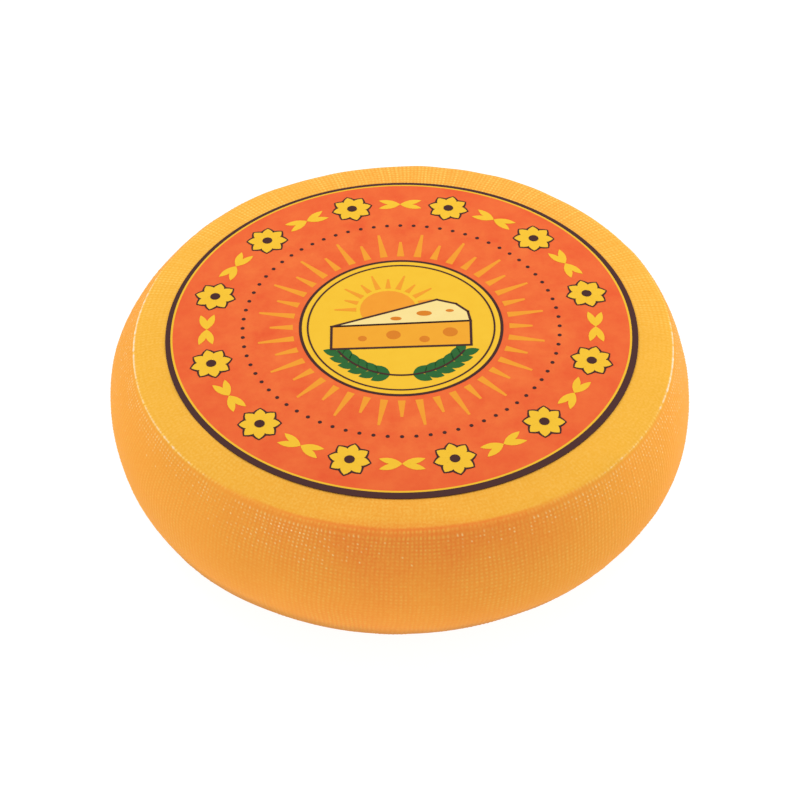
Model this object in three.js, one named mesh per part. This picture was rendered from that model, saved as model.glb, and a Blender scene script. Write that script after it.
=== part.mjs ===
// A whole wheel of semi-soft cheese with a round paper label on its domed top.
// Millimetres, +Z up. The wheel stands on z = 0, with the middle of its outline over the origin.

import * as THREE from "three";

// Driving dimensions of the wheel
const GIRTH_DIAMETER = 230; // across the bulge of the side
const HEIGHT = 64.3; // from the base to the middle of the top
const SHOULDER_DIAMETER = 211.4; // across the crease between the top and the side
const SHOULDER_DROP = 4.4; // the crease lies this far below the middle of the top
const DOME_POWER = 5; // how late the top turns down: 2 is a plain dome, more is flatter
const BULGE_POWER = 2; // 2 rounds the side as a parabola, more is flatter
const FOOT_DIAMETER = 178; // the flat that the wheel stands on
const FOOT_RISE = 5.2; // the lower crease lies this far above the base
const FOOT_POWER = 1.6; // how late the underside turns up from the flat to the lower crease
const CREASE_ROUND = 3.5; // each crease is rounded this far to both sides

// Unevenness of a wheel that is pressed in cloth and ripens on a shelf
const LEAN = 3.3; // the top has slipped this far towards +X over the base
const GIRTH_TILT = 5.7; // the bulge rides this much higher on one side, and lower opposite
const GIRTH_TILT_ANGLE = THREE.MathUtils.degToRad(165); // the side where it is highest
const OVAL_SHARE = 0.009; // longer one way and shorter across it, as a share of the radius
const OVAL_ANGLE = THREE.MathUtils.degToRad(82); // the long way, nearly front to back
const LOBE_SHARE = 0.0043; // a slight three-sided roundness, as a share of the radius
const LOBE_ANGLE = THREE.MathUtils.degToRad(79);

// Driving dimensions of the label
const LABEL_DIAMETER = 183.4;
const LABEL_THICKNESS = 0.3;
const LABEL_GAP = 0.15; // the paper lies this far above the rind, on its paste
const LABEL_SLIP = -1.1; // along X, off the middle of the top

// Steps that the curved surfaces are drawn with
const TURN_STEPS = 96;
const FOOT_STEPS = 3;
const CREASE_STEPS = 4;
const SIDE_STEPS = 14;
const BORDER_STEPS = 2;
const DOME_STEPS = 5;

const girthRadius = GIRTH_DIAMETER / 2;
const shoulderRadius = SHOULDER_DIAMETER / 2;
const footRadius = FOOT_DIAMETER / 2;
const labelRadius = LABEL_DIAMETER / 2;
const girthHeight = HEIGHT / 2;
const shoulderHeight = HEIGHT - SHOULDER_DROP;
const topLean = LEAN / 2;

// The top's height at a radius.
function topHeight(radius) {
  return HEIGHT - SHOULDER_DROP * (radius / shoulderRadius) ** DOME_POWER;
}

// A point of the section on the top.
function topPoint(radius) {
  return new THREE.Vector2(radius, topHeight(radius));
}

// A point of the section on the underside, outside the flat.
function footPoint(radius) {
  const share = (radius - footRadius) / (shoulderRadius - footRadius);
  return new THREE.Vector2(radius, FOOT_RISE * share ** FOOT_POWER);
}

// A point of the section on the side: -1 is the lower crease, 0 the bulge and 1 the shoulder.
function sidePoint(share) {
  const radius = girthRadius - (girthRadius - shoulderRadius) * Math.abs(share) ** BULGE_POWER;
  const end = share < 0 ? FOOT_RISE : shoulderHeight;
  return new THREE.Vector2(radius, THREE.MathUtils.lerp(girthHeight, end, Math.abs(share)));
}

// Even steps from one value to another, without the two ends.
function between(from, to, steps) {
  const values = [];
  for (let step = 1; step < steps; step += 1) {
    values.push(THREE.MathUtils.lerp(from, to, step / steps));
  }
  return values;
}

// Radii from the axis out to the label's edge, closer together where the dome bends more.
function domeRadii() {
  const turns = [0, ...between(0, Math.PI / 2, DOME_STEPS), Math.PI / 2];
  return turns.map((turn) => labelRadius * Math.sin(turn));
}

// Half of the wheel's section, up the outside from the axis at the base to the axis at the top.
function wheelSection() {
  const roundStart = shoulderRadius - CREASE_ROUND;
  const sideEnd = 1 - CREASE_ROUND / (shoulderHeight - girthHeight);
  const lowerCrease = [footPoint(roundStart), sidePoint(-1), sidePoint(-sideEnd)];
  const upperCrease = [sidePoint(sideEnd), sidePoint(1), topPoint(roundStart)];
  return [
    new THREE.Vector2(0, 0),
    footPoint(footRadius),
    ...between(footRadius, roundStart, FOOT_STEPS).map(footPoint),
    ...new THREE.QuadraticBezierCurve(...lowerCrease).getPoints(CREASE_STEPS),
    ...between(-sideEnd, sideEnd, SIDE_STEPS).map(sidePoint),
    ...new THREE.QuadraticBezierCurve(...upperCrease).getPoints(CREASE_STEPS),
    ...between(roundStart, labelRadius, BORDER_STEPS).map(topPoint),
    ...domeRadii().reverse().map(topPoint),
  ];
}

// A thin closed section for the label, flat until it is laid on the dome.
function labelSection() {
  const radii = domeRadii();
  const under = radii.map((radius) => new THREE.Vector2(radius, LABEL_GAP));
  const over = radii.map((radius) => new THREE.Vector2(radius, LABEL_GAP + LABEL_THICKNESS));
  return [...under, ...over.reverse()];
}

// A section of (radius, height) points turned once round the Z axis.
function turned(section) {
  const geometry = new THREE.LatheGeometry(section, TURN_STEPS);
  geometry.rotateX(Math.PI / 2);
  return geometry;
}

// Moves every vertex of a geometry by a rule that changes its place.
function reshape(geometry, rule) {
  const places = geometry.getAttribute("position");
  const place = new THREE.Vector3();
  for (let index = 0; index < places.count; index += 1) {
    place.fromBufferAttribute(places, index);
    rule(place);
    places.setXYZ(index, place.x, place.y, place.z);
  }
  geometry.computeVertexNormals();
  return geometry;
}

// The wheel's radius at an angle round the axis, against that of a true circle.
function roundness(angle) {
  const oval = OVAL_SHARE * Math.cos(2 * (angle - OVAL_ANGLE));
  const lobe = LOBE_SHARE * Math.cos(3 * (angle - LOBE_ANGLE));
  return 1 + oval + lobe;
}

// How far the side's height has gone from the bulge, 0, to a crease, 1 or more.
function shareFromGirth(height) {
  const reach = height < girthHeight ? girthHeight - FOOT_RISE : shoulderHeight - girthHeight;
  return Math.abs(height - girthHeight) / reach;
}

// Gives a true round wheel its unevenness: the bulge tilts, the outline isn't round, the top leans.
function settle(place) {
  const angle = Math.atan2(place.y, place.x);
  const tilt = GIRTH_TILT * Math.cos(angle - GIRTH_TILT_ANGLE);
  place.z += tilt * Math.max(0, 1 - shareFromGirth(place.z));
  place.x = place.x * roundness(angle) + LEAN * (place.z / HEIGHT - 0.5);
  place.y *= roundness(angle);
}

// Lays a flat round sheet on the uneven dome.
function layOnTop(place) {
  place.x += topLean + LABEL_SLIP;
  const fromMiddle = place.x - topLean;
  const angle = Math.atan2(place.y, fromMiddle);
  place.z += topHeight(Math.hypot(fromMiddle, place.y) / roundness(angle));
}

function makeWheel() {
  const rind = new THREE.MeshStandardMaterial({ color: 0xf4a642, roughness: 0.5, metalness: 0 });
  const wheel = new THREE.Mesh(reshape(turned(wheelSection()), settle), rind);
  wheel.name = "cheese_wheel";
  return wheel;
}

function makeLabel() {
  const paper = new THREE.MeshStandardMaterial({ color: 0xef6a3d, roughness: 0.6, metalness: 0 });
  const label = new THREE.Mesh(reshape(turned(labelSection()), layOnTop), paper);
  label.name = "paper_label";
  return label;
}

const cheese = new THREE.Group();
const wheel = makeWheel();
cheese.add(wheel, makeLabel());

// The middle of the uneven outline goes over the origin.
wheel.geometry.computeBoundingBox();
const outlineMiddle = wheel.geometry.boundingBox.getCenter(new THREE.Vector3());
cheese.position.set(-outlineMiddle.x, -outlineMiddle.y, 0);

export default cheese;
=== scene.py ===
# %% [markdown]
# # A wheel of semi-soft cheese
# The real thing is a wheel of semi-soft cheese, about 23 cm across. It was pressed in a woven
# cloth, which left its threads in the orange rind, and a round printed paper is pasted on top.
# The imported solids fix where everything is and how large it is. This script dresses them.

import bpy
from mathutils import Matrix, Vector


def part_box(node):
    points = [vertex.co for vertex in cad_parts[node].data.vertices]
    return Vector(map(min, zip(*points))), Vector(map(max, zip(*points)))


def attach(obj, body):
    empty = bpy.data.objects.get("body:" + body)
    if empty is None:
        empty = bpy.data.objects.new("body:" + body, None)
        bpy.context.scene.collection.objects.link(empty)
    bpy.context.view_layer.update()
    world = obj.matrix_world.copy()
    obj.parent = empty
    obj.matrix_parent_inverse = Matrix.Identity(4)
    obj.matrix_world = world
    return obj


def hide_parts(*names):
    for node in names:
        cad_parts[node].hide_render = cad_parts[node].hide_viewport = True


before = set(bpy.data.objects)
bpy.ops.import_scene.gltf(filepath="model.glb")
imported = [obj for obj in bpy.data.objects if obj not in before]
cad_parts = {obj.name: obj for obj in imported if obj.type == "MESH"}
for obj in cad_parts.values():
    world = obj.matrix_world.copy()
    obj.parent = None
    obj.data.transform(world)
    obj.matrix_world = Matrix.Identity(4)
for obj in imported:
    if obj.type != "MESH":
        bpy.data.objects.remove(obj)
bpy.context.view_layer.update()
print("nodes in the frame:", sorted(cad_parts))

# %% [markdown]
# ## The form of the wheel
# A pressed wheel is a solid of revolution that has sagged: its side bulges, its top leans and
# its outline isn't quite round. So the form is one section that is turned round an axis, and a
# rule that moves each point of the true round wheel to where it has settled. The label and its
# print lie on the same form, which is why it is written as functions. Sizes are in millimetres.

# %% Sizes of the wheel
import math
import random

import bmesh
import bpy
from mathutils import Matrix, Vector, noise

MM = 0.001

wheel_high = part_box("cheese_wheel")[1] / MM
label_low, label_high = (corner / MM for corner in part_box("paper_label"))
label_middle = (label_low + label_high) / 2

HEIGHT = wheel_high.z
LABEL_RADIUS = (label_high.x - label_low.x) / 2
GIRTH_RADIUS = 115.0  # at the bulge of the side
SHOULDER_RADIUS = 105.7  # at the crease between the top and the side
SHOULDER_DROP = 4.4  # from the middle of the top down to the crease
DOME_POWER = 5  # how late the top turns down
BULGE_POWER = 2  # rounds the side as a parabola
FOOT_RADIUS = 89.0  # of the flat that the wheel stands on
FOOT_RISE = 5.2  # from the flat up to the lower crease
FOOT_POWER = 1.6  # how late the underside turns up
CREASE_ROUND = 2.2  # each crease is rounded this far to both sides
LEAN = 3.3  # the top has slipped this far over the base
GIRTH_TILT = 5.7  # the bulge rides this much higher on one side
GIRTH_TILT_ANGLE = math.radians(165)
OVAL_SHARE = 0.009  # longer one way than across, as a share of the radius
OVAL_ANGLE = math.radians(82)
LOBE_SHARE = 0.0043  # slightly three-sided, as a share of the radius
LOBE_ANGLE = math.radians(79)
LABEL_SLIP = -1.1  # of the label, off the middle of the top

GIRTH_HEIGHT = HEIGHT / 2
SHOULDER_HEIGHT = HEIGHT - SHOULDER_DROP
AXIS_X = label_middle.x - LEAN / 2 - LABEL_SLIP
AXIS_Y = label_middle.y
print(f"wheel {HEIGHT:.1f} mm high, label {2 * LABEL_RADIUS:.1f} mm across")
print(f"axis at {AXIS_X:.2f}, {AXIS_Y:.2f} mm")


# %% The rule that settles a true round wheel
def blend(low, high, share):
    return low + (high - low) * share


def ramp(low, high, value):
    share = min(1.0, max(0.0, (value - low) / (high - low)))
    return share * share * (3 - 2 * share)


def top_point(radius):
    return Vector((radius, 0, HEIGHT - SHOULDER_DROP * (radius / SHOULDER_RADIUS) ** DOME_POWER))


def side_point(share):
    radius = GIRTH_RADIUS - (GIRTH_RADIUS - SHOULDER_RADIUS) * abs(share) ** BULGE_POWER
    end = SHOULDER_HEIGHT if share > 0 else FOOT_RISE
    return Vector((radius, 0, blend(GIRTH_HEIGHT, end, abs(share))))


def foot_point(radius):
    share = (radius - FOOT_RADIUS) / (SHOULDER_RADIUS - FOOT_RADIUS)
    return Vector((radius, 0, FOOT_RISE * share**FOOT_POWER))


def roundness(angle):
    oval = OVAL_SHARE * math.cos(2 * (angle - OVAL_ANGLE))
    lobe = LOBE_SHARE * math.cos(3 * (angle - LOBE_ANGLE))
    return 1 + oval + lobe


def settle(place):
    angle = math.atan2(place.y, place.x)
    end = FOOT_RISE if place.z < GIRTH_HEIGHT else SHOULDER_HEIGHT
    from_girth = abs(place.z - GIRTH_HEIGHT) / abs(end - GIRTH_HEIGHT)
    tilt = GIRTH_TILT * math.cos(angle - GIRTH_TILT_ANGLE)
    height = place.z + tilt * max(0, 1 - from_girth)
    swell = roundness(angle)
    lean = LEAN * (height / HEIGHT - 0.5)
    return Vector((AXIS_X + place.x * swell + lean, AXIS_Y + place.y * swell, height))


def dome_height(x, y):
    out_x = x - AXIS_X - LEAN / 2
    out_y = y - AXIS_Y
    radius = math.hypot(out_x, out_y) / roundness(math.atan2(out_y, out_x))
    return top_point(radius).z


left, right = (settle(Vector((way * GIRTH_RADIUS, 0, GIRTH_HEIGHT))) for way in (-1, 1))
print(f"the bulge is {left.z:.1f} mm up at the left and {right.z:.1f} mm at the right")

# %% [markdown]
# ## The cloth-marked rind
# The cheese swells a little through the gaps of its cloth, so the side is a net of small pillows,
# one for each gap between the threads. The ribs that run up the side lie 1.76 mm apart, and the
# rows lie closer at the shoulder than near the foot. That is a shape and not a colour, so it is in
# the mesh: the section is spun in coarse steps, the rings that show are cut to three steps for each
# rib, and each point then moves out along its normal. Most rows have two points of the section, one
# on the pillows and one between them. The lowest have one, to save triangles, and leave the rows
# to the material. A displacement modifier could do it too, but here each pillow has its own height.

# %% Section of the wheel
RIB_PITCH = 1.76
RIBS = 2 * round(math.pi * GIRTH_RADIUS / RIB_PITCH)
STEPS_PER_RIB = 3
SIDE_ROWS = 33
RAISED_ROWS = 27  # rows with two points of the section
POINTS_PER_ROW = 2
ROW_EVENNESS = 0.72  # 1 sets the rows evenly, less brings them together at the shoulder
BORDER_POINTS = 4
CREASE_POINTS = 4
FOOT_POINTS = 3
HIDDEN_RADII = (0.0, 40.0, 70.0, 86.0)  # of the rings under the label
UNDER_LABEL = 1.0  # the fine rings start this far under the label's edge

side_rows = [step / POINTS_PER_ROW for step in range(RAISED_ROWS * POINTS_PER_ROW)]
side_rows += range(RAISED_ROWS, SIDE_ROWS + 1)


def row_drop(row):
    part = row / SIDE_ROWS
    return blend(part * part, part, ROW_EVENNESS)


def crease(start, corner, end):
    points = []
    for index in range(CREASE_POINTS + 1):
        share = index / CREASE_POINTS
        points.append(blend(blend(start, corner, share), blend(corner, end, share), share))
    return points


def wheel_section():
    round_start = SHOULDER_RADIUS - CREASE_ROUND
    side_end = 1 - CREASE_ROUND / (SHOULDER_HEIGHT - GIRTH_HEIGHT)
    border_start = LABEL_RADIUS - UNDER_LABEL
    points = [top_point(radius) for radius in HIDDEN_RADII]
    for step in range(BORDER_POINTS):
        points.append(top_point(blend(border_start, round_start, step / BORDER_POINTS)))
    points += crease(top_point(round_start), side_point(1), side_point(side_end))
    for row in side_rows[1:-1]:
        points.append(side_point(blend(side_end, -side_end, row_drop(row))))
    points += crease(side_point(-side_end), side_point(-1), foot_point(round_start))
    for step in range(1, FOOT_POINTS + 1):
        points.append(foot_point(blend(round_start, FOOT_RADIUS, step / FOOT_POINTS)))
    points.append(Vector((FOOT_RADIUS / 2, 0, 0)))
    points.append(Vector((0, 0, 0)))
    return points


section = wheel_section()
print(f"section of {len(section)} points, {RIBS} ribs round the wheel")

# %% Weave of the cloth in the rind
FIRST_SHOWN = len(HIDDEN_RADII)
SHOULDER_INDEX = FIRST_SHOWN + BORDER_POINTS + CREASE_POINTS
CREASE_INDEX = SHOULDER_INDEX - CREASE_POINTS // 2
SIDE_END_INDEX = SHOULDER_INDEX + len(side_rows) - 1
LAST_SHOWN = SIDE_END_INDEX + CREASE_POINTS + FOOT_POINTS
CLOTH_SEED = 5
PILLOW_HEIGHT = 0.2
SMALLEST_PILLOW = 0.5  # as a share of the height
LARGEST_PILLOW = 1.3
RIB_SHARE = 0.1  # how high a rib still is between two pillows
FRONT_BORDER_WEAVE = 0.18
BACK_BORDER_WEAVE = 0.65
BORDER_FADE = (-GIRTH_RADIUS / 3, GIRTH_RADIUS / 2)  # along Y
FOOT_WEAVE = 0.5
PATCH_SIZE = 20.0  # of the places where the imprint is fainter
PATCH_RANGE = (-0.35, 0.25)  # of the noise
FAINT_WEAVE = 0.55

chance = random.Random(CLOTH_SEED)
pillow_sizes = [
    [chance.uniform(SMALLEST_PILLOW, LARGEST_PILLOW) for row in range(SIDE_ROWS + 1)]
    for rib in range(RIBS)
]
fleck_draws = [[chance.random() for row in range(SIDE_ROWS + 1)] for rib in range(RIBS)]


def row_of(index):
    if index < SHOULDER_INDEX:
        return (section[index].x - section[SHOULDER_INDEX].x) / RIB_PITCH
    if index <= SIDE_END_INDEX:
        return side_rows[index - SHOULDER_INDEX]
    return SIDE_ROWS + (index - SIDE_END_INDEX) / POINTS_PER_ROW


def of_pillow(table, turn, row):
    return table[round(turn * RIBS) % RIBS][min(SIDE_ROWS, max(0, round(row)))]


def weave_share(index, place):
    if index < FIRST_SHOWN or index >= LAST_SHOWN:
        return 0.0
    share = 1.0
    if index < CREASE_INDEX:
        share = blend(FRONT_BORDER_WEAVE, BACK_BORDER_WEAVE, ramp(*BORDER_FADE, place.y))
    elif index > SIDE_END_INDEX:
        share = FOOT_WEAVE
    return share * blend(FAINT_WEAVE, 1, ramp(*PATCH_RANGE, noise.noise(place / PATCH_SIZE)))


def weave_height(turn, row):
    ridge = 0.5 + 0.5 * math.cos(2 * math.pi * turn * RIBS)
    pick = 0.5 + 0.5 * math.cos(2 * math.pi * row)
    return ridge * blend(RIB_SHARE, 1, pick)


print(f"{RIBS * SIDE_ROWS} pillows on the side, up to {PILLOW_HEIGHT * LARGEST_PILLOW:.2f} mm high")

# %% [markdown]
# ## Lip and painted glints
# The coating stands up in a thin lip along the crease. Its pale colour there is a painted glint,
# strongest at the left and the right, and single pillows carry pale flecks that are painted glints.
# They could be painted in an image, but then they would not sit on the pillows. So both are marks
# on the points of the mesh that the material reads, and they thin out from the middle of each place.

# %% Lip and painted glints of the rind
LIP_HEIGHT = 0.35
LIP_BREAKS = 1.1  # degrees along the crease from one break in the lip to the next
LIP_MEAN = 0.92
LIP_SWING = 0.6
# Where the lip stands up, and where its pale colour is a painted glint.
LIP_PLACES = (  # angle, spread, strength
    (178, 32, 1.0),
    (208, 28, 0.75),
    (-9, 24, 1.0),
    (-38, 24, 0.6),
)
# Painted glints: pale flecks on single pillows.
FLECK_PLACES = (  # angle, spread, rows down from the crease, share of the pillows
    (-114, 17, 13, 1.0),
    (-152, 26, 5, 1.0),
    (-18, 36, 12, 0.75),
    (-60, 26, 5, 0.5),
    (184, 18, 23, 0.3),
    (-2, 18, 23, 0.3),
)
FLECK_ROWS = 9  # all round, this far down
FEW_FLECKS = 0.12
FAINTEST_FLECK = 0.15
FLECK_FADE = 1.5  # more leaves fewer bright flecks


def nearness(turn, middle, spread):
    apart = abs((turn * 360 - middle + 180) % 360 - 180)
    return max(0.0, 1 - (apart / spread) ** 2)


def lip_share(index, turn):
    if index != CREASE_INDEX:
        return 0.0
    break_up = LIP_MEAN + LIP_SWING * noise.noise(Vector((turn * 360 / LIP_BREAKS, 0, 0)))
    return break_up * max(strength * nearness(turn, *place) for *place, strength in LIP_PLACES)


def fleck_share(turn, row):
    on_top = round(turn * RIBS * STEPS_PER_RIB) % STEPS_PER_RIB == 0 and row == round(row)
    if not on_top or row < 0 or row > SIDE_ROWS:
        return 0.0
    crowd = FEW_FLECKS * max(0.0, 1 - row / FLECK_ROWS)
    for middle, spread, rows, density in FLECK_PLACES:
        crowd += density * nearness(turn, middle, spread) * max(0.0, 1 - row / rows)
    draw = of_pillow(fleck_draws, turn, row)
    return blend(FAINTEST_FLECK, 1, (1 - draw / crowd) ** FLECK_FADE) if draw < crowd else 0.0


print(f"{len(LIP_PLACES)} stretches of lip, {len(FLECK_PLACES)} patches of flecks")

# %% [markdown]
# ## Fields of painted light and shade
# The rind's colour holds painted light and shade. Its top border is painted yellower than its side,
# as lit from above, the front of the side is painted deeper under the shoulder as shade, its left
# and right are painted more golden where the side lights fall, and painted shade darkens the foot.
# Nodes in the material could find these places, but short functions are easier to read and to
# move. So these fields too are marks on the points, shares from 0 to 1.

# %% Where painted light and shade change the rind's colour
BORDER_EDGE = -0.7  # in rows from the crease
EDGE_SOFTNESS = 0.35
BORDER_SHIFT = 1.3  # the edge lies this much further in at the front
SHIFT_PLACE = (-92, 48)  # angle and spread, as in all these places
# Painted shade: the front of the side is painted a deeper orange under the shoulder.
SHADED_ROWS = 19
SHADED_PLACE = (-88, 41)
# Painted shade: the lowest rows are painted darker at the foot.
FOOT_SHADE_ROWS = 5
# Painted light: the left and the right are painted more golden, where the side lights fall.
PAINTED_END_LIGHT_PLACES = ((187, 90), (-25, 75))


# The top border gets painted light: its colours are painted yellower, as lit from above.
def border_share(turn, row):
    edge = BORDER_EDGE - BORDER_SHIFT * nearness(turn, *SHIFT_PLACE)
    return 1 - ramp(edge - EDGE_SOFTNESS, edge + EDGE_SOFTNESS, row)


def shaded_share(turn, row):
    return (1 - ramp(0, SHADED_ROWS, row)) * nearness(turn, *SHADED_PLACE)


def painted_end_light_share(turn):
    return max(nearness(turn, middle, spread) for middle, spread in PAINTED_END_LIGHT_PLACES)


def foot_shade_share(row):
    return ramp(SIDE_ROWS - FOOT_SHADE_ROWS, SIDE_ROWS, row)


print(f"the front is deepest at {SHADED_PLACE[0]} degrees and fades over {SHADED_ROWS} rows")

# %% [markdown]
# ## Spinning the section
# A real wheel gets its form from a round mould and then sags. The mesh goes the same way: bmesh
# spins the section to a true round wheel, the points settle, and the cloth is pressed in last,
# along the normals of the settled wheel. A lattice or a sculpt could bend it too, but neither
# could be worked out again from the numbers above.

# %% Spin the section
MERGE_DISTANCE = 0.001


def turned_section(points, steps, cuts=0, first_cut=0, last_cut=0):
    bm = bmesh.new()
    index_layer = bm.verts.layers.float.new("section_index")
    verts = []
    for index, point in enumerate(points):
        vert = bm.verts.new(point)
        vert[index_layer] = index
        verts.append(vert)
    for start, end in zip(verts, verts[1:]):
        bm.edges.new((start, end))
    bmesh.ops.spin(
        bm, geom=verts + bm.edges[:], cent=(0, 0, 0), axis=(0, 0, 1), angle=2 * math.pi,
        steps=steps, use_merge=True,
    )
    bmesh.ops.remove_doubles(bm, verts=bm.verts, dist=MERGE_DISTANCE)
    if cuts:
        round_edges = []
        for edge in bm.edges:
            start, end = (vert[index_layer] for vert in edge.verts)
            if start == end and first_cut <= start <= last_cut:
                round_edges.append(edge)
        bmesh.ops.subdivide_edges(bm, edges=round_edges, cuts=cuts, use_grid_fill=True)
    bmesh.ops.recalc_face_normals(bm, faces=bm.faces)
    return bm


wheel_bm = turned_section(section, RIBS // 2, 2 * STEPS_PER_RIB - 1, FIRST_SHOWN, LAST_SHOWN)
print(f"true round wheel of {len(wheel_bm.verts)} points")

# %% Settle the wheel and press the cloth into it
DENT_SIZE = 38.0
DENT_DEPTH = 0.45
WANDER_SIZE = 13.0  # of the waves in the threads
WANDER = 0.9  # how far a thread strays round the wheel
THREAD_SEED = 5
MARKS = ("turn", "row", "weave", "border", "painted_end_light", "shaded", "painted_foot_shade", "lip", "glint_fleck")


def wander(place):
    drift = noise.noise_vector(place / WANDER_SIZE) * WANDER
    turned = Matrix.Rotation(drift.x / GIRTH_RADIUS, 3, "Z") @ place
    return turned + Vector((0, 0, drift.z / 2))


def settle_wheel(bm, layers):
    for vert in bm.verts:
        index = round(vert[layers["section_index"]])
        vert[layers["turn"]] = (math.atan2(vert.co.y, vert.co.x) / (2 * math.pi)) % 1
        vert[layers["row"]] = row_of(index)
        if FIRST_SHOWN < index <= SIDE_END_INDEX:
            vert.co = wander(vert.co)
        vert.co = settle(vert.co)
    bm.normal_update()


def press_cloth(bm, layers):
    for vert in bm.verts:
        index = round(vert[layers["section_index"]])
        turn = vert[layers["turn"]]
        row = row_of(index)
        share = weave_share(index, vert.co)
        size = of_pillow(pillow_sizes, turn, row)
        marks = {
            "weave": share * size / LARGEST_PILLOW,
            "border": border_share(turn, row),
            "painted_end_light": painted_end_light_share(turn),
            "shaded": shaded_share(turn, row),
            "painted_foot_shade": foot_shade_share(row),
            "lip": lip_share(index, turn),
            "glint_fleck": fleck_share(turn, row),
        }
        for name, value in marks.items():
            vert[layers[name]] = value
        height = LIP_HEIGHT * marks["lip"]
        if FIRST_SHOWN < index < LAST_SHOWN:
            height += DENT_DEPTH * noise.noise(vert.co / DENT_SIZE)
        if SHOULDER_INDEX <= index <= SIDE_END_INDEX:
            height += PILLOW_HEIGHT * share * size * weave_height(turn, row)
        vert.co += vert.normal * height


def wrap_map(bm, layers):
    uv_layer = bm.loops.layers.uv.new("OFBake")
    last_index = len(section) - 1
    for face in bm.faces:
        turns = [loop.vert[layers["turn"]] for loop in face.loops]
        crosses_seam = max(turns) - min(turns) > 0.5
        for loop, turn in zip(face.loops, turns):
            across = turn + 1 if crosses_seam and turn < 0.5 else turn
            loop[uv_layer].uv = (across, 1 - loop.vert[layers["section_index"]] / last_index)


noise.seed_set(THREAD_SEED)  # without it, noise vectors start from the clock
mark_layers = wheel_bm.verts.layers.float
for mark in MARKS:
    mark_layers.new(mark)
settle_wheel(wheel_bm, mark_layers)
press_cloth(wheel_bm, mark_layers)
wrap_map(wheel_bm, mark_layers)
print("marks on each point:", ", ".join(MARKS))


# %% [markdown]
# ## Materials
# Each material is a small graph of nodes round one Principled shader. One function adds a node,
# sets its properties, fills its sockets with a value or with a link from another node, and gives
# back the output that is wanted. Colours are written as hex codes, as a screen shows them, and
# one function turns them to the linear light that Blender works with.

# %% Helpers for materials
MATH = "ShaderNodeMath"
RANGE = "ShaderNodeMapRange"
NOISE = "ShaderNodeTexNoise"
MIX = "ShaderNodeMix"
MIX_SHARE = 0  # sockets of a mix of colours
MIX_A = 6
MIX_B = 7
MIX_OUT = 2


def linear(code):
    channels = [int(code[place:place + 2], 16) / 255 for place in (1, 3, 5)]
    curve = [c / 12.92 if c <= 0.04045 else ((c + 0.055) / 1.055) ** 2.4 for c in channels]
    return (*curve, 1.0)


def fill_sockets(tree, node, sockets):
    for name, value in sockets.items():
        if isinstance(value, bpy.types.NodeSocket):
            tree.links.new(value, node.inputs[name])
        else:
            node.inputs[name].default_value = value


def add_node(tree, kind, output, sockets=None, **settings):
    node = tree.nodes.new(kind)
    for name, value in settings.items():
        setattr(node, name, value)
    fill_sockets(tree, node, sockets or {})
    return node.outputs[output]


def new_material(name):
    material = bpy.data.materials.new(name)
    material.use_nodes = True
    tree = material.node_tree
    return material, tree, tree.nodes["Principled BSDF"]


print(f"middle grey #808080 is {linear('#808080')[0]:.3f} in linear light")

# %% [markdown]
# ## The coated rind
# The rind is brushed with an orange coating, satin and a little cloudy. Each pillow top is painted
# paler, a painted highlight over painted shade between the pillows, and the painted glints are
# nearly white. A picture of a rind could be wrapped round the wheel, but it would show its seam and
# its pixels. So the colour is laid on in coats, and each coat has a share that says where it shows.
# The shares come from the marks on the points, from the pattern of the weave and from two noises,
# one for clouds and one for grain.

# %% Pillow tops as the rind's own pattern
RIND_MARKS = MARKS[1:]  # the turn is already in the map round the wheel


def read_marks(tree):
    marks = {}
    for name in RIND_MARKS:
        marks[name] = add_node(tree, "ShaderNodeAttribute", "Fac", attribute_name=name)
    return marks


def pillow_tops(tree, marks):
    around = add_node(tree, "ShaderNodeUVMap", "UV", uv_map="OFBake")
    turn = add_node(tree, "ShaderNodeSeparateXYZ", "X", {"Vector": around})
    ribs = add_node(tree, MATH, 0, {0: turn, 1: RIBS}, operation="MULTIPLY")
    up = []
    for count in (ribs, marks["row"]):
        angle = add_node(tree, MATH, 0, {0: count, 1: 2 * math.pi}, operation="MULTIPLY")
        wave = add_node(tree, MATH, 0, {0: angle}, operation="COSINE")
        up.append(add_node(tree, MATH, 0, {0: wave, 1: 0.5, 2: 0.5}, operation="MULTIPLY_ADD"))
    ridge, pick = up
    along = add_node(tree, MATH, 0, {0: pick, 1: 1 - RIB_SHARE, 2: RIB_SHARE}, operation="MULTIPLY_ADD")
    ridged = add_node(tree, MATH, 0, {0: ridge, 1: along}, operation="MULTIPLY")
    pillow = add_node(tree, MATH, 0, {0: ridged, 1: marks["weave"]}, operation="MULTIPLY")
    peak = add_node(tree, MATH, 0, {0: ridge, 1: pick}, operation="MULTIPLY")
    return pillow, peak


print("marks that the rind reads:", ", ".join(RIND_MARKS))

# %% Coats of colour under the weave
MOTTLE = 24.0  # size of the clouds
CLOUD_STRENGTH = 0.5
SHADE_STRENGTH = 0.9
SHADE_LOST = 0.4  # where a cloud lies over it
# Painted light on the left and the right.
FRONT_ORANGE = linear("#F38F38")
END_PAINTED_LIGHT_GOLD = linear("#F19F38")
CLOUD_ORANGE = linear("#F7A03C")
# Painted shade under the shoulder at the front.
PAINTED_SHADE_ORANGE = linear("#F08235")
# Painted light on the top border, yellower as lit from above.
BORDER_PAINTED_LIGHT_ORANGE = linear("#F1A038")
BORDER_PAINTED_LIGHT_GOLD = linear("#F0B038")


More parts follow.
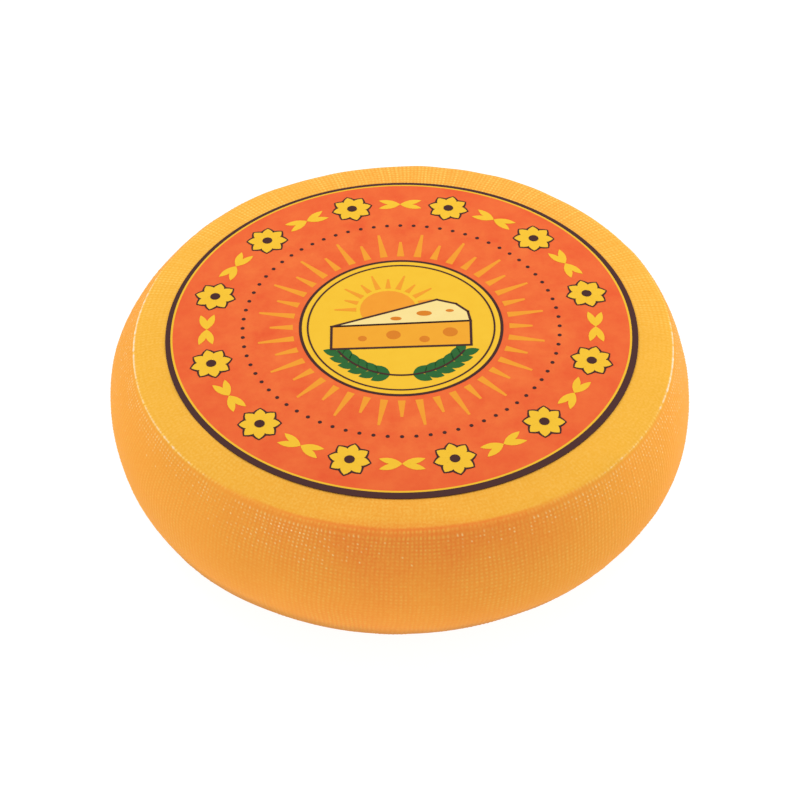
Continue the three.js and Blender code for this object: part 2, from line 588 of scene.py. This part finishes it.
def ground_coats(tree, marks, place):
    mottle = add_node(tree, NOISE, "Fac", {"Vector": place, "Scale": 1 / (MOTTLE * MM), "Detail": 4.0})
    cloud = add_node(tree, RANGE, 0, {"Value": mottle, "From Min": 0.36, "From Max": 0.62})
    clouded = add_node(tree, MATH, 0, {0: cloud, 1: CLOUD_STRENGTH}, operation="MULTIPLY")
    less_shade = {0: cloud, 1: -SHADE_LOST, 2: SHADE_STRENGTH}
    clear = add_node(tree, MATH, 0, less_shade, operation="MULTIPLY_ADD")
    shade = add_node(tree, MATH, 0, {0: marks["shaded"], 1: clear}, operation="MULTIPLY")
    border_colours = {MIX_SHARE: marks["painted_end_light"], MIX_A: BORDER_PAINTED_LIGHT_ORANGE, MIX_B: BORDER_PAINTED_LIGHT_GOLD}
    border = add_node(tree, MIX, MIX_OUT, border_colours, data_type="RGBA")
    return [
        (marks["painted_end_light"], END_PAINTED_LIGHT_GOLD),
        (clouded, CLOUD_ORANGE),
        (shade, PAINTED_SHADE_ORANGE),
        (marks["border"], border),
    ]


print(f"clouds of {MOTTLE:.0f} mm in the coating")

# %% Coats of colour on the weave
# Painted highlight on the pillow tops, painted shade between them, more on the border.
SIDE_TOP_HIGHLIGHT = linear("#F8B450")
BORDER_TOP_HIGHLIGHT = linear("#FFCF64")
TOP_HIGHLIGHT_STRENGTH = 1.05
TOP_HIGHLIGHT_ON_BORDER = 0.75  # stronger by this much
# Painted shade at the foot.
FOOT_SHADE_BROWN = linear("#B5742C")
FOOT_SHADE_STRENGTH = 0.65
SPECK_YELLOW = linear("#F9BF56")
SPECK_STRENGTH = 0.35
SPECK_ON_BORDER = 0.65  # stronger by this much
# Painted glints on single pillows.
GLINT_FLECK_CREAM = linear("#FFE4A0")
GLINT_FLECK_STRENGTH = 0.85
# Painted glint along the lip.
LIP_GLINT_CREAM = linear("#FFEBD2")


def weave_coats(tree, marks, pillow, grain):
    border = marks["border"]
    top_colours = {MIX_SHARE: border, MIX_A: SIDE_TOP_HIGHLIGHT, MIX_B: BORDER_TOP_HIGHLIGHT}
    top_highlight = add_node(tree, MIX, MIX_OUT, top_colours, data_type="RGBA")
    more_tops = {0: border, 1: TOP_HIGHLIGHT_ON_BORDER, 2: TOP_HIGHLIGHT_STRENGTH}
    shown = add_node(tree, MATH, 0, more_tops, operation="MULTIPLY_ADD")
    painted_tops = add_node(tree, MATH, 0, {0: pillow, 1: shown}, operation="MULTIPLY")
    # Painted shade darkens the lowest rows.
    edge = add_node(tree, MATH, 0, {0: marks["painted_foot_shade"], 1: FOOT_SHADE_STRENGTH}, operation="MULTIPLY")
    speck = add_node(tree, RANGE, 0, {"Value": grain, "From Min": 0.42, "From Max": 0.75, "To Max": 0.65})
    more_specks = {0: border, 1: SPECK_ON_BORDER, 2: SPECK_STRENGTH}
    where = add_node(tree, MATH, 0, more_specks, operation="MULTIPLY_ADD")
    specks = add_node(tree, MATH, 0, {0: speck, 1: where}, operation="MULTIPLY")
    return [(painted_tops, top_highlight), (edge, FOOT_SHADE_BROWN), (specks, SPECK_YELLOW)]


# Painted glints: pale flecks on pillows and a pale line on the lip.
def painted_glint_coats(tree, lip, glint_fleck):
    glint_flecks = add_node(tree, MATH, 0, {0: glint_fleck, 1: GLINT_FLECK_STRENGTH}, operation="MULTIPLY")
    return [(glint_flecks, GLINT_FLECK_CREAM), (lip, LIP_GLINT_CREAM)]


print(f"pillow tops show {TOP_HIGHLIGHT_STRENGTH} on the side, {TOP_HIGHLIGHT_STRENGTH + TOP_HIGHLIGHT_ON_BORDER} on the border")

# %% Coated rind
GRAIN = 0.9
GRAIN_SHARE = 0.25  # of the fine relief, against a pillow
FINE_RELIEF = 0.12
GLINT_COAT = 0.45


def coated_rind():
    # Satin, with a fine grain and next to no mirror in it: to the eye, a thin coat on something soft.
    # Places with a painted glint also have a clear coat, so they glint a little.
    material, tree, shader = new_material("coated cheese rind")
    place = add_node(tree, "ShaderNodeTexCoord", "Object")
    marks = read_marks(tree)
    pillow, peak = pillow_tops(tree, marks)
    grain = add_node(tree, NOISE, "Fac", {"Vector": place, "Scale": 1 / (GRAIN * MM), "Detail": 2.0})
    lip_reach = {"Value": marks["lip"], "From Min": 0.45, "From Max": 0.95, "To Max": 0.8}
    lip = add_node(tree, RANGE, 0, lip_reach)
    glint_fleck = add_node(tree, MATH, 0, {0: marks["glint_fleck"], 1: peak}, operation="MULTIPLY")
    glint_places = add_node(tree, MATH, 0, {0: lip, 1: glint_fleck}, operation="MAXIMUM")
    coats = ground_coats(tree, marks, place) + weave_coats(tree, marks, pillow, grain)
    colour = FRONT_ORANGE
    for share, coat in coats + painted_glint_coats(tree, lip, glint_fleck):
        layer = {MIX_SHARE: share, MIX_A: colour, MIX_B: coat}
        colour = add_node(tree, MIX, MIX_OUT, layer, data_type="RGBA")
    relief = add_node(tree, MATH, 0, {0: grain, 1: GRAIN_SHARE, 2: pillow}, operation="MULTIPLY_ADD")
    bump = {"Height": relief, "Strength": 1.0, "Distance": FINE_RELIEF * MM}
    fill_sockets(tree, shader, {
        "Base Color": colour,
        "Roughness": add_node(tree, RANGE, 0, {"Value": grain, "To Min": 0.5, "To Max": 0.7}),
        "Normal": add_node(tree, "ShaderNodeBump", "Normal", bump),
        "Coat Weight": add_node(tree, MATH, 0, {0: glint_places, 1: GLINT_COAT}, operation="MULTIPLY"),
        "Coat Roughness": 0.14,
        "IOR": 1.45,
        "Specular IOR Level": 0.06,
    })
    return material


rind_material = coated_rind()
print(f"{rind_material.name}: {len(rind_material.node_tree.nodes)} nodes")

# %% Make the wheel
SHARP_ANGLE = math.radians(50)


def finish_piece(name, bm, material, nodes=()):
    bmesh.ops.scale(bm, vec=(MM, MM, MM), verts=bm.verts)
    mesh = bpy.data.meshes.new(name)
    bm.to_mesh(mesh)
    bm.free()
    mesh.shade_smooth()
    mesh.set_sharp_from_angle(angle=SHARP_ANGLE)
    mesh.materials.append(material)
    piece = bpy.data.objects.new(name, mesh)
    bpy.context.scene.collection.objects.link(piece)
    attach(piece, "root")
    if nodes:
        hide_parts(*nodes)
    triangles = sum(len(face.vertices) - 2 for face in mesh.polygons)
    print(f"{name}: {triangles} triangles, {piece.dimensions.x / MM:.1f} mm wide")


finish_piece("rind", wheel_bm, rind_material, ["cheese_wheel"])

# %% [markdown]
# ## The paper label
# The label is a disc of printed paper, pasted on the domed top. A flat disc with a shrinkwrap
# modifier could follow the dome, but the dome's height is known at every place. So the paper is
# spun as a thin closed section and each point is lifted by that height. Its rim ring and its
# yellow ring are plain circles, which the material finds by the distance from the middle.

# %% Label sheet
LABEL_GAP = 0.15
LABEL_THICKNESS = 0.3
LABEL_STEPS = 240
LABEL_RINGS = 22


def paper_top(x, y):
    return dome_height(x, y) + LABEL_GAP + LABEL_THICKNESS


def label_sheet():
    turns = [math.pi / 2 * ring / LABEL_RINGS for ring in range(LABEL_RINGS + 1)]
    radii = [LABEL_RADIUS * math.sin(turn) for turn in turns]
    under = [Vector((radius, 0, -LABEL_THICKNESS)) for radius in radii]
    over = [Vector((radius, 0, 0)) for radius in reversed(radii)]
    bm = turned_section(under + over, LABEL_STEPS)
    for vert in bm.verts:
        vert.co.x += label_middle.x
        vert.co.y += label_middle.y
        vert.co.z += paper_top(vert.co.x, vert.co.y)
    return bm


print(f"the paper lies {paper_top(label_middle.x, label_middle.y):.2f} mm up in the middle")

# %% Printed paper
PRINT_X = label_middle.x - 0.2  # the print isn't quite in the middle of the sheet
PRINT_Y = label_middle.y + 0.6
RIM_RING = 89.5
YELLOW_RING = 88.7
PAPER_CLOUD = 11.0  # size of the clouds in the orange
REDDER_FROM = 60.0  # the orange turns redder from here
REDDER_TO = 88.0
PAPER_ROUGHNESS = 0.6
PAPER_SHINE = 0.1
FIELD_RED = linear("#E4562C")
FIELD_ORANGE = linear("#F0783A")
RING_YELLOW = linear("#EDB92E")
RIM_BROWN = linear("#4A2C2A")


def printed_paper():
    # Matt and cloudy: to the eye, stout paper that has drunk its ink.
    material, tree, shader = new_material("printed label paper")
    place = add_node(tree, "ShaderNodeTexCoord", "Object")
    to_middle = {"Vector": place, "Location": (-PRINT_X * MM, -PRINT_Y * MM, 0), "Scale": (1, 1, 0)}
    centred = add_node(tree, "ShaderNodeMapping", 0, to_middle)
    distance = add_node(tree, "ShaderNodeVectorMath", "Value", {0: centred}, operation="LENGTH")
    grain = {"Vector": place, "Scale": 1 / (PAPER_CLOUD * MM), "Detail": 8.0, "Roughness": 0.68}
    cloud = add_node(tree, NOISE, "Fac", grain)
    mottled = add_node(tree, RANGE, 0, {"Value": cloud, "From Min": 0.25, "From Max": 0.75})
    reach = {"Value": distance, "From Min": REDDER_FROM * MM, "From Max": REDDER_TO * MM}
    redder = add_node(tree, RANGE, 0, {**reach, "To Min": 1.0, "To Max": 0.7})
    coats = [(add_node(tree, MATH, 0, {0: mottled, 1: redder}, operation="MULTIPLY"), FIELD_ORANGE)]
    for radius, ring_colour in ((YELLOW_RING, RING_YELLOW), (RIM_RING, RIM_BROWN)):
        outside = add_node(tree, MATH, 0, {0: distance, 1: radius * MM}, operation="GREATER_THAN")
        coats.append((outside, ring_colour))
    colour = FIELD_RED
    for share, coat in coats:
        layer = {MIX_SHARE: share, MIX_A: colour, MIX_B: coat}
        colour = add_node(tree, MIX, MIX_OUT, layer, data_type="RGBA")
    fill_sockets(tree, shader, {
        "Base Color": colour,
        "Roughness": PAPER_ROUGHNESS,
        "Specular IOR Level": PAPER_SHINE,
    })
    return material


finish_piece("label", label_sheet(), printed_paper(), ["paper_label"])

# %% [markdown]
# ## The print on the label
# The label is printed with a sunrise over a wedge of cheese in a medallion, sunrays round it and a
# garland of daisies near the rim. An image texture would blur when seen close, so each ink is a
# thin film of mesh that follows the paper, and inks printed later lie higher. All shapes are made
# flat round the middle of the print and are laid on the paper at the end.

# %% Shapes of the print
LEAF_POINTS = 16


def spot(x, y, turn=0.0):
    return Matrix.Translation((x, y, 0)) @ Matrix.Rotation(turn, 4, "Z")


def on_circle(radius, angle, turn=0.0):
    return spot(radius * math.cos(angle), radius * math.sin(angle), angle + turn)


def add_disc(bm, place, radius, flat=1.0, segments=24):
    shape = place @ Matrix.Diagonal((1, flat, 1, 1))
    bmesh.ops.create_circle(bm, cap_ends=True, segments=segments, radius=radius, matrix=shape)


def add_leaf(bm, place, length, width):
    verts = bmesh.ops.create_circle(bm, cap_ends=True, segments=LEAF_POINTS, radius=1)["verts"]
    for vert in verts:
        vert.co = Vector((length / 2 * (1 + vert.co.x), width / 2 * vert.co.y * abs(vert.co.y), 0))
    bmesh.ops.transform(bm, matrix=place, verts=verts)


def add_leaf_pair(bm, place, splay, length, width):
    for way in (1, -1):
        add_leaf(bm, place @ spot(0, 0, way * splay), length, width)


def add_plate(bm, place, corners):
    bm.faces.new([bm.verts.new(place @ Vector((x, y, 0))) for x, y in corners])


def add_ray(bm, place, start, end, root, tip):
    add_plate(bm, place, ((start, -root / 2), (end, -tip / 2), (end, tip / 2), (start, root / 2)))


def add_outline(bm, corners, width):
    half = width / 2
    for start, end in zip(corners, corners[1:] + corners[:1]):
        run = Vector(end) - Vector(start)
        far = run.length + half
        line = spot(*start, math.atan2(run.y, run.x))
        add_plate(bm, line, ((-half, -half), (far, -half), (far, half), (-half, half)))


def add_ring(bm, inner, outer, steps, start=0.0, angle=2 * math.pi):
    reach = Vector((math.cos(start), math.sin(start), 0))
    ends = [bm.verts.new(reach * inner), bm.verts.new(reach * outer)]
    bmesh.ops.spin(
        bm, geom=ends + [bm.edges.new(ends)], cent=(0, 0, 0), axis=(0, 0, 1), angle=angle, steps=steps,
        use_merge=angle == 2 * math.pi,
    )


print(f"leaves and petals are drawn with {LEAF_POINTS} points each")

# %% Rays, rings and daisies
RAYS = 40
RAY_START = 42.0
RAY_END = 56.0
RAY_STEP = 5.0  # every other ray is this much shorter
RAY_ROOT = 3.0
RAY_TIP = 1.0
MEDALLION = 38.5
MEDALLION_STEPS = 96
MEDALLION_RIM = (MEDALLION - 0.5, MEDALLION + 1.2)
BEADS = 72
BEAD_CIRCLE = 61.5
BEAD_RADIUS = 0.8
DAISIES = 12
DAISY_CIRCLE = 75.5
PETALS = 8
PETAL_START = 1.2
PETAL_LENGTH = 6.6
PETAL_WIDTH = 4.4
OUTLINE = 0.7
GARLAND_LEAF = (0.3, 9, 3)  # splay, length and width


def each_daisy():
    for daisy in range(DAISIES):
        yield on_circle(DAISY_CIRCLE, 2 * math.pi * (daisy + 0.5) / DAISIES)


def add_petals(bm, wider):
    start = spot(PETAL_START - wider, 0)
    for middle in each_daisy():
        for petal in range(PETALS):
            place = middle @ spot(0, 0, 2 * math.pi * petal / PETALS) @ start
            add_leaf(bm, place, PETAL_LENGTH + 2 * wider, PETAL_WIDTH + 3 * wider)


def draw_rays(bm):
    for ray in range(RAYS):
        reach = RAY_END if ray % 2 else RAY_END - RAY_STEP
        add_ray(bm, on_circle(0, 2 * math.pi * ray / RAYS), RAY_START, reach, RAY_ROOT, RAY_TIP)


def draw_brown(bm):
    add_ring(bm, *MEDALLION_RIM, MEDALLION_STEPS)
    add_petals(bm, OUTLINE)
    for bead in range(BEADS):
        add_disc(bm, on_circle(BEAD_CIRCLE, 2 * math.pi * bead / BEADS), BEAD_RADIUS, segments=10)


def draw_yellow(bm):
    add_disc(bm, spot(0, 0), MEDALLION, segments=MEDALLION_STEPS)
    add_petals(bm, 0)
    for daisy in range(DAISIES):
        for way in (-1, 1):
            place = on_circle(DAISY_CIRCLE, 2 * math.pi * daisy / DAISIES, way * math.pi / 2)
            add_leaf_pair(bm, place, *GARLAND_LEAF)


print(f"{RAYS} rays, {BEADS} beads and {DAISIES} daisies of {PETALS} petals")

# %% Sunrise over a wedge of cheese
SUN = spot(-5, 10)
SUN_RADIUS = 11.0
SUN_RAYS = 11
SUN_RAY_START = 12.5
SUN_RAY_END = 21.0
SUN_RAY_STEP = 3.0
SUN_RAY_ROOT = 2.2
SUN_RAY_TIP = 0.6
SPRIG_CIRCLE = 28.0
SPRIG_LEAVES = 6
SPRIG_PITCH = math.radians(9)
SPRIG_LEAF = (0.55, 8, 4)  # splay, length and width
STALK = 0.8
STALK_TURN = math.radians(60)
WEDGE_TOP = ((-27, 0), (27, 3), (26, 8.5), (21.5, 13), (14, 15.5))
WEDGE_FRONT = ((-27, 0), (-27, -13), (27, -11), (27, 3))
WEDGE_LINE = 1.0
MEDALLION_LINE = (MEDALLION - 2.6, MEDALLION - 1.9)
DAISY_EYE = 2.0
FRONT_EYES = ((-15, -7, 1.7), (-3, -5, 2.8), (9, -7.5, 2.0), (19, -3.5, 2.9))  # x, y and radius
TOP_EYES = ((-2, 4.5, 2.2), (9, 7.5, 3.0), (19, 9, 1.6))


def draw_gold(bm):
    add_disc(bm, SUN, SUN_RADIUS)
    for ray in range(SUN_RAYS):
        place = SUN @ spot(0, 0, math.pi * ray / (SUN_RAYS - 1))
        reach = SUN_RAY_END - SUN_RAY_STEP * (ray % 2)
        add_ray(bm, place, SUN_RAY_START, reach, SUN_RAY_ROOT, SUN_RAY_TIP)


def draw_green(bm):
    for way in (-1, 1):
        for leaf in range(SPRIG_LEAVES):
            angle = -math.pi / 2 + way * SPRIG_PITCH * (1 + leaf)
            add_leaf_pair(bm, on_circle(SPRIG_CIRCLE, angle, way * math.pi / 2), *SPRIG_LEAF)


def draw_cream(bm):
    add_plate(bm, spot(0, 0), WEDGE_TOP)


def draw_amber(bm):
    add_plate(bm, spot(0, 0), WEDGE_FRONT)


def draw_lines(bm):
    add_ring(bm, *MEDALLION_LINE, MEDALLION_STEPS)
    add_outline(bm, WEDGE_TOP, WEDGE_LINE)
    add_outline(bm, WEDGE_FRONT, WEDGE_LINE)
    stalk = (SPRIG_CIRCLE - STALK / 2, SPRIG_CIRCLE + STALK / 2)
    for way in (-1, 1):
        add_ring(bm, *stalk, 16, -math.pi / 2, way * STALK_TURN)
    for middle in each_daisy():
        add_disc(bm, middle, DAISY_EYE, segments=14)


def draw_eyes(bm):
    for eyes, flat in ((FRONT_EYES, 0.9), (TOP_EYES, 0.5)):
        for x, y, radius in eyes:
            add_disc(bm, spot(x, y), radius, flat)


print(f"a wedge with {len(FRONT_EYES) + len(TOP_EYES)} eyes, {2 * SPRIG_LEAVES} pairs of leaves")

# %% [markdown]
# ## Inks
# Printing ink on paper is a thin matt film that never lies quite evenly. One flat colour would look
# like plastic film, so each ink is mixed of two near shades by a noise of a few millimetres. Each
# film is its drawing, raised a little and laid on the dome. Real films are far thinner, but two
# faces at one height would flicker.

# %% Inks of the print
INK_CLOUD = 5.0
FIRST_FILM = 0.04  # height of the lowest ink over the paper
FILM_STEP = 0.03


def printed_ink(name, code, shade):
    # As matt as its paper and faintly cloudy: to the eye, printed on and not stuck on.
    material, tree, shader = new_material(name)
    place = add_node(tree, "ShaderNodeTexCoord", "Object")
    cloud = add_node(tree, NOISE, "Fac", {"Vector": place, "Scale": 1 / (INK_CLOUD * MM), "Detail": 4.0})
    shades = {MIX_SHARE: cloud, MIX_A: linear(shade), MIX_B: linear(code)}
    fill_sockets(tree, shader, {
        "Base Color": add_node(tree, MIX, MIX_OUT, shades, data_type="RGBA"),
        "Roughness": PAPER_ROUGHNESS,
        "Specular IOR Level": PAPER_SHINE,
    })
    return material


def lay_print(name, draw, order, ink):
    bm = bmesh.new()
    draw(bm)
    made = bmesh.ops.extrude_face_region(bm, geom=bm.faces[:], use_keep_orig=True)
    raised = {vert for vert in made["geom"] if isinstance(vert, bmesh.types.BMVert)}
    film = FIRST_FILM + FILM_STEP * order
    for vert in bm.verts:
        x = vert.co.x + PRINT_X
        y = vert.co.y + PRINT_Y
        vert.co = Vector((x, y, paper_top(x, y) + (film if vert in raised else 0)))
    bmesh.ops.recalc_face_normals(bm, faces=bm.faces)
    finish_piece(name, bm, ink)


yellow_ink = printed_ink("yellow ink", "#F2C235", "#EDB92C")
brown_ink = printed_ink("brown ink", "#4A2C2A", "#402422")
gold_ink = printed_ink("gold ink", "#F0A030", "#EA922A")
lay_print("print_rays", draw_rays, 0, gold_ink)
lay_print("print_brown", draw_brown, 1, brown_ink)
lay_print("print_yellow", draw_yellow, 2, yellow_ink)
lay_print("print_sun", draw_gold, 3, gold_ink)
lay_print("print_green", draw_green, 3, printed_ink("green ink", "#2F6B35", "#275C2D"))
lay_print("print_cream", draw_cream, 4, printed_ink("cream ink", "#F5DF98", "#F0D588"))
lay_print("print_amber", draw_amber, 4, printed_ink("amber ink", "#EFA92F", "#E99E2A"))
lay_print("print_lines", draw_lines, 5, brown_ink)
lay_print("print_eyes", draw_eyes, 5, printed_ink("ochre ink", "#DB8325", "#D27820"))

# %% [markdown]
# ## Camera
# The wheel was photographed from in front and well above, with a long lens, so it shows little
# perspective. A view could be set by eye, but these numbers were fitted to the wheel's outline.

# %% Camera
VIEW_DOWN = math.radians(43.06)
VIEW_DISTANCE = 1175.5
VIEW_AIM = Vector((-0.05, -2.25, 28.02))
VIEW_ROLL = math.radians(-0.44)
LENS = 133.7
SENSOR = 36


def add_camera():
    camera = bpy.data.objects.new("camera", bpy.data.cameras.new("camera"))
    back = Vector((0, -math.cos(VIEW_DOWN), math.sin(VIEW_DOWN)))
    camera.data.lens = LENS
    camera.data.sensor_width = SENSOR
    camera.location = (VIEW_AIM + back * VIEW_DISTANCE) * MM
    turn = (-back).to_track_quat("-Z", "Y").to_matrix() @ Matrix.Rotation(VIEW_ROLL, 3, "Z")
    camera.rotation_euler = turn.to_euler()
    bpy.context.scene.collection.objects.link(camera)
    bpy.context.scene.camera = camera
    print(f"camera {VIEW_DISTANCE:.0f} mm away, {camera.location.z / MM:.0f} mm up")


add_camera()

# %% [markdown]
# ## Light
# The photo has soft light from all round, more of it from behind, and no hard shadow. A white
# world alone would leave the wheel flat. So softboxes behind it brighten the border, strips at
# both sides draw the edges of the bulge, and a small one in front gives the side some form.

# %% Light
WORLD_STRENGTH = 0.62
SOFTBOXES = {  # direction to it, distance, width and height in metres, power in watts
    "back left": ((-0.5, 0.35, 0.79), 1.5, 0.5, 0.5, 5.6),
    "back right": ((0.5, 0.35, 0.79), 1.5, 0.5, 0.5, 5.6),
    "left strip": ((-0.85, 0.45, 0.25), 1.2, 0.9, 0.1, 1.3),
    "right strip": ((0.92, 0.3, 0.2), 1.2, 0.9, 0.1, 3.6),
    "front left": ((-0.66, -0.71, 0.24), 1.3, 0.2, 0.14, 1.5),
}


def softbox(name, direction, distance, width, height, power):
    light = bpy.data.lights.new(name, "AREA")
    light.shape = "RECTANGLE"
    light.size = width
    light.size_y = height
    light.energy = power
    lamp = bpy.data.objects.new(name, light)
    away = Vector(direction).normalized()
    lamp.location = away * distance + Vector((0, 0, GIRTH_HEIGHT * MM))
    lamp.rotation_euler = away.to_track_quat("Z", "Y").to_euler()
    bpy.context.scene.collection.objects.link(lamp)
    print(f"{name}: {power} W from {distance} m")


def studio():
    scene = bpy.context.scene
    scene.view_settings.view_transform = "Standard"
    scene.world = bpy.data.worlds.new("studio")
    scene.world.use_nodes = True
    background = scene.world.node_tree.nodes["Background"]
    background.inputs["Color"].default_value = linear("#FFFFFF")
    background.inputs["Strength"].default_value = WORLD_STRENGTH
    for name, settings in SOFTBOXES.items():
        softbox(name, *settings)


studio()

# %% [markdown]
# ## Floor
# The wheel stands on pure white with hardly a shadow, as on a table that is lit from below. A
# white floor would turn grey under the wheel. A dark one that glows stays white everywhere and
# throws little of the wheel's colour back. It is part of the studio and not of the wheel.

# %% Floor
FLOOR_HALF = 4  # metres from its middle to an edge
FLOOR_DROP = 0.2
FLOOR_GLOW = 0.93


def light_table():
    # Grey with its own light: to the eye, white without a shadow.
    material, tree, shader = new_material("white light table")
    fill_sockets(tree, shader, {
        "Base Color": linear("#6A6A6A"),
        "Roughness": 0.9,
        "Emission Color": linear("#FFFFFF"),
        "Emission Strength": FLOOR_GLOW,
    })
    return material


def floor():
    bm = bmesh.new()
    below = Matrix.Translation((0, 0, -FLOOR_DROP * MM))
    bmesh.ops.create_grid(bm, x_segments=1, y_segments=1, size=FLOOR_HALF, matrix=below)
    mesh = bpy.data.meshes.new("floor")
    bm.to_mesh(mesh)
    bm.free()
    mesh.materials.append(light_table())
    sweep = bpy.data.objects.new("floor", mesh)
    bpy.context.scene.collection.objects.link(sweep)
    print(f"floor {2 * FLOOR_HALF} m wide, {FLOOR_DROP} mm under the wheel")


floor()
